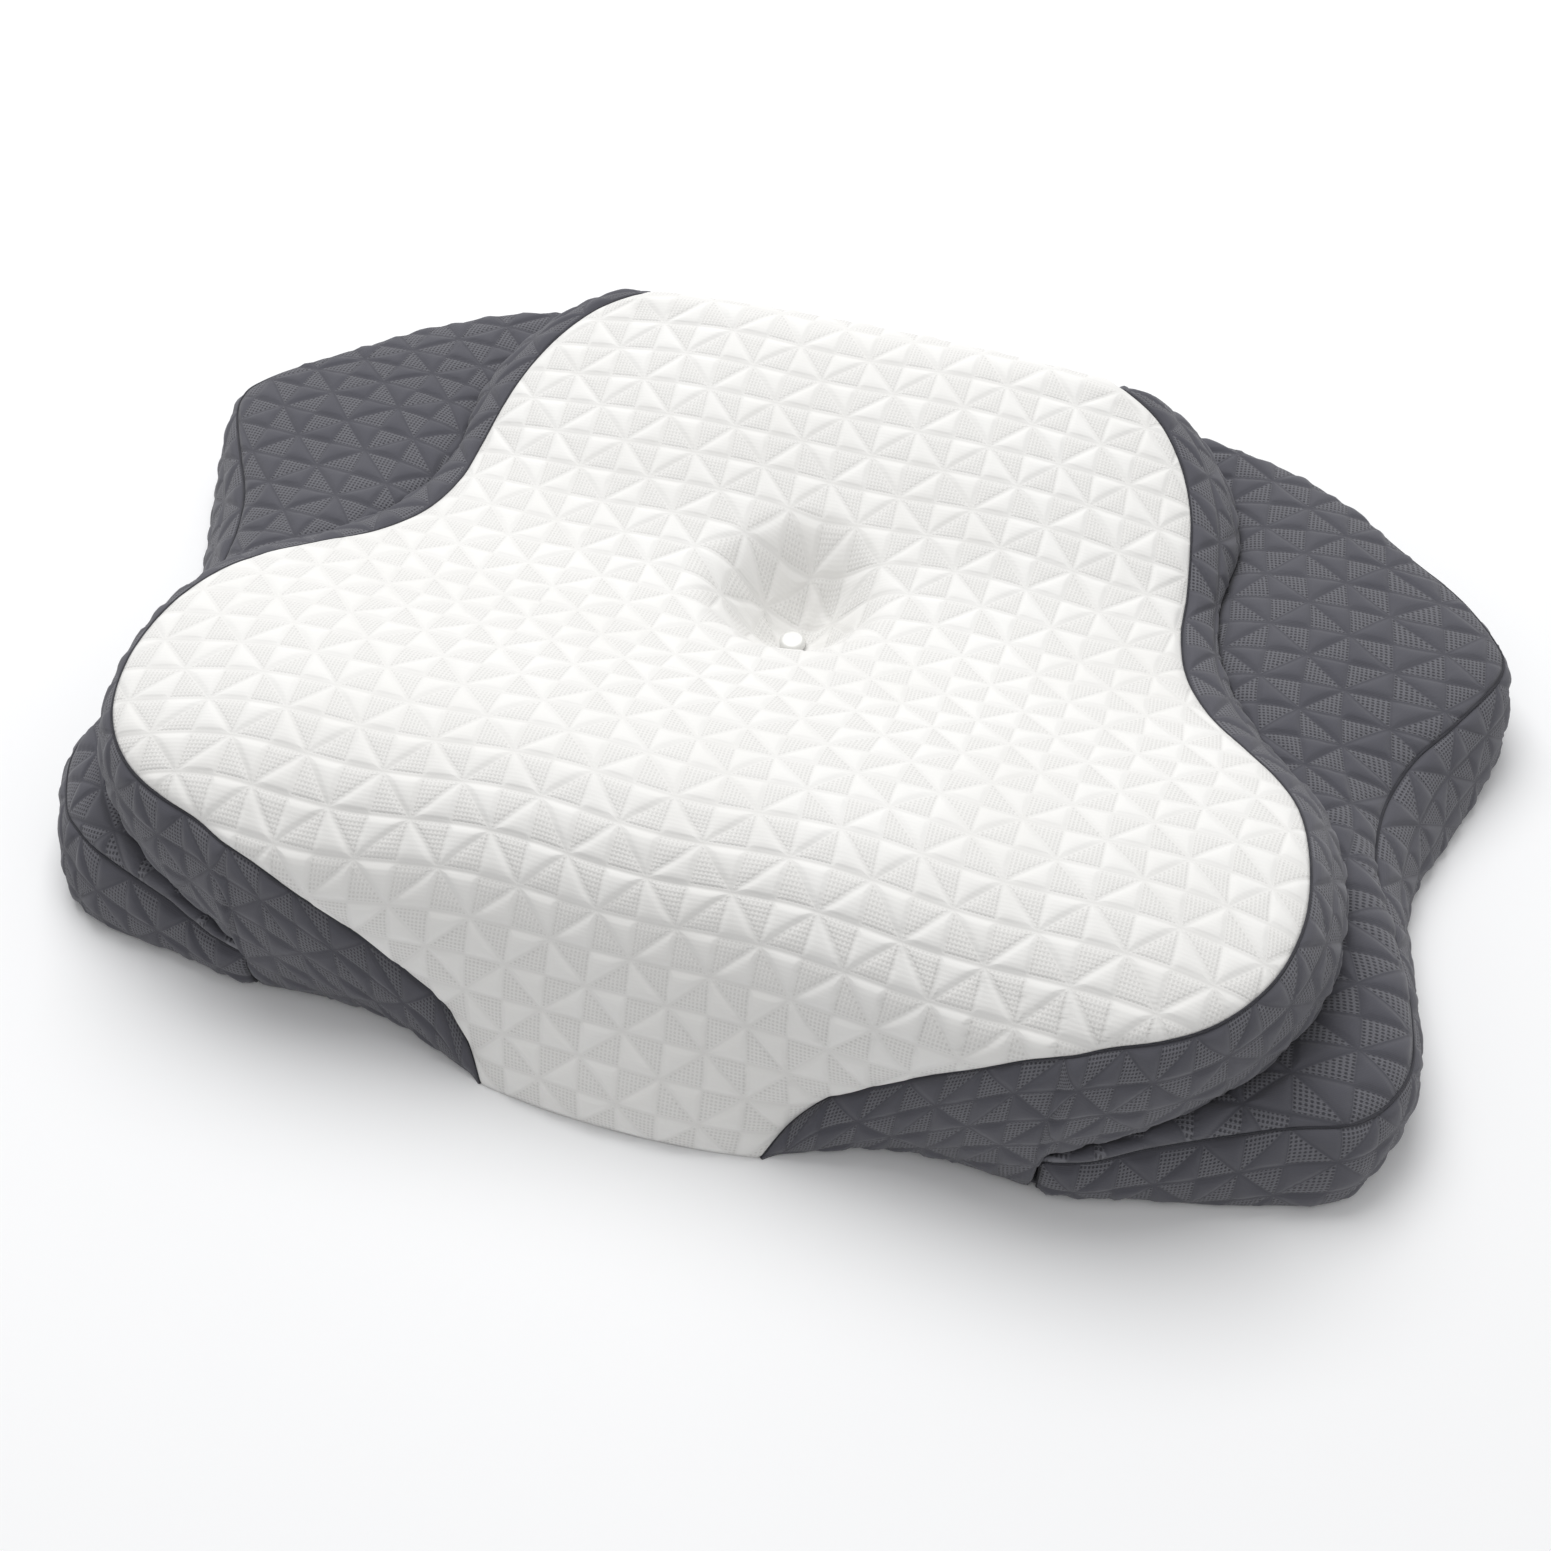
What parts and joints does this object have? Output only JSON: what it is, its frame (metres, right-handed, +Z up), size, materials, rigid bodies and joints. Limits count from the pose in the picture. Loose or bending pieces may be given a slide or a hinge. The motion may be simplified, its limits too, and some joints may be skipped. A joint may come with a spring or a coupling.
{
  "type": "contoured cervical pillow",
  "caption": "Contoured neck pillow with a high neck roll, hollow with a tufted button, rear ridge and wide arm wings, in a zipped quilted cover.",
  "frame": {"origin": "middle of the footprint, on the floor it rests on", "axes": "+X to the sleeper's side (width), -Y towards the neck roll, +Y towards the head-side ridge and the zip, +Z up"},
  "size_m": [0.6386, 0.424, 0.1153],
  "materials": {
    "white_knit": "quilted air-layer jacquard knit, matt",
    "grey_knit": "quilted air-layer jacquard knit, slate grey, matt",
    "under_cloth": "plain slate-grey woven cloth",
    "liner_knit": "thin white jersey",
    "memory_foam": "open-cell slow-rebound polyurethane foam, off-white",
    "zip_tape": "twill woven polyester tape",
    "zip_coil": "nylon coil",
    "zip_metal": "dark painted zinc alloy",
    "white_plastic": "smooth white resin",
    "webbing": "narrow elastic webbing and backing cloth",
    "label_satin": "plain satin, unprinted"
  },
  "bodies": {
    "pillow": {"top_panel": "white_knit", "upper_gusset_left": "grey_knit", "upper_gusset_right": "grey_knit", "base_top_left": "grey_knit", "base_top_right": "grey_knit", "base_gusset_left": "grey_knit", "base_gusset_right": "grey_knit", "zip_strip_upper": "grey_knit", "zip_strip_lower": "grey_knit", "bottom_panel": "under_cloth", "inner_liner": "liner_knit", "foam_core": "memory_foam", "zip_tape_upper": "zip_tape", "zip_tape_lower": "zip_tape", "zip_coil_upper": "zip_coil", "zip_coil_lower": "zip_coil", "zip_stops": "zip_metal", "button": "white_plastic", "button_patch": "webbing", "button_tether": "webbing", "anchor_disc": "white_plastic", "anchor_patch": "webbing", "care_label": "label_satin"},
    "zip_slider_body": {"zip_slider": "zip_metal"},
    "zip_pull_body": {"zip_pull": "zip_metal"}
  },
  "joints": [
    {"name": "zip_slider_travel", "type": "slide", "parent": "pillow", "child": "zip_slider_body", "axis": [1, 0, 0], "range_m": [0, 0.3]},
    {"name": "zip_pull_swing", "type": "hinge", "parent": "zip_slider_body", "child": "zip_pull_body", "pos_m": [-0.15, 0.2108, 0.022], "axis": [0, 0, 1], "range_deg": [0, 180]}
  ]
}
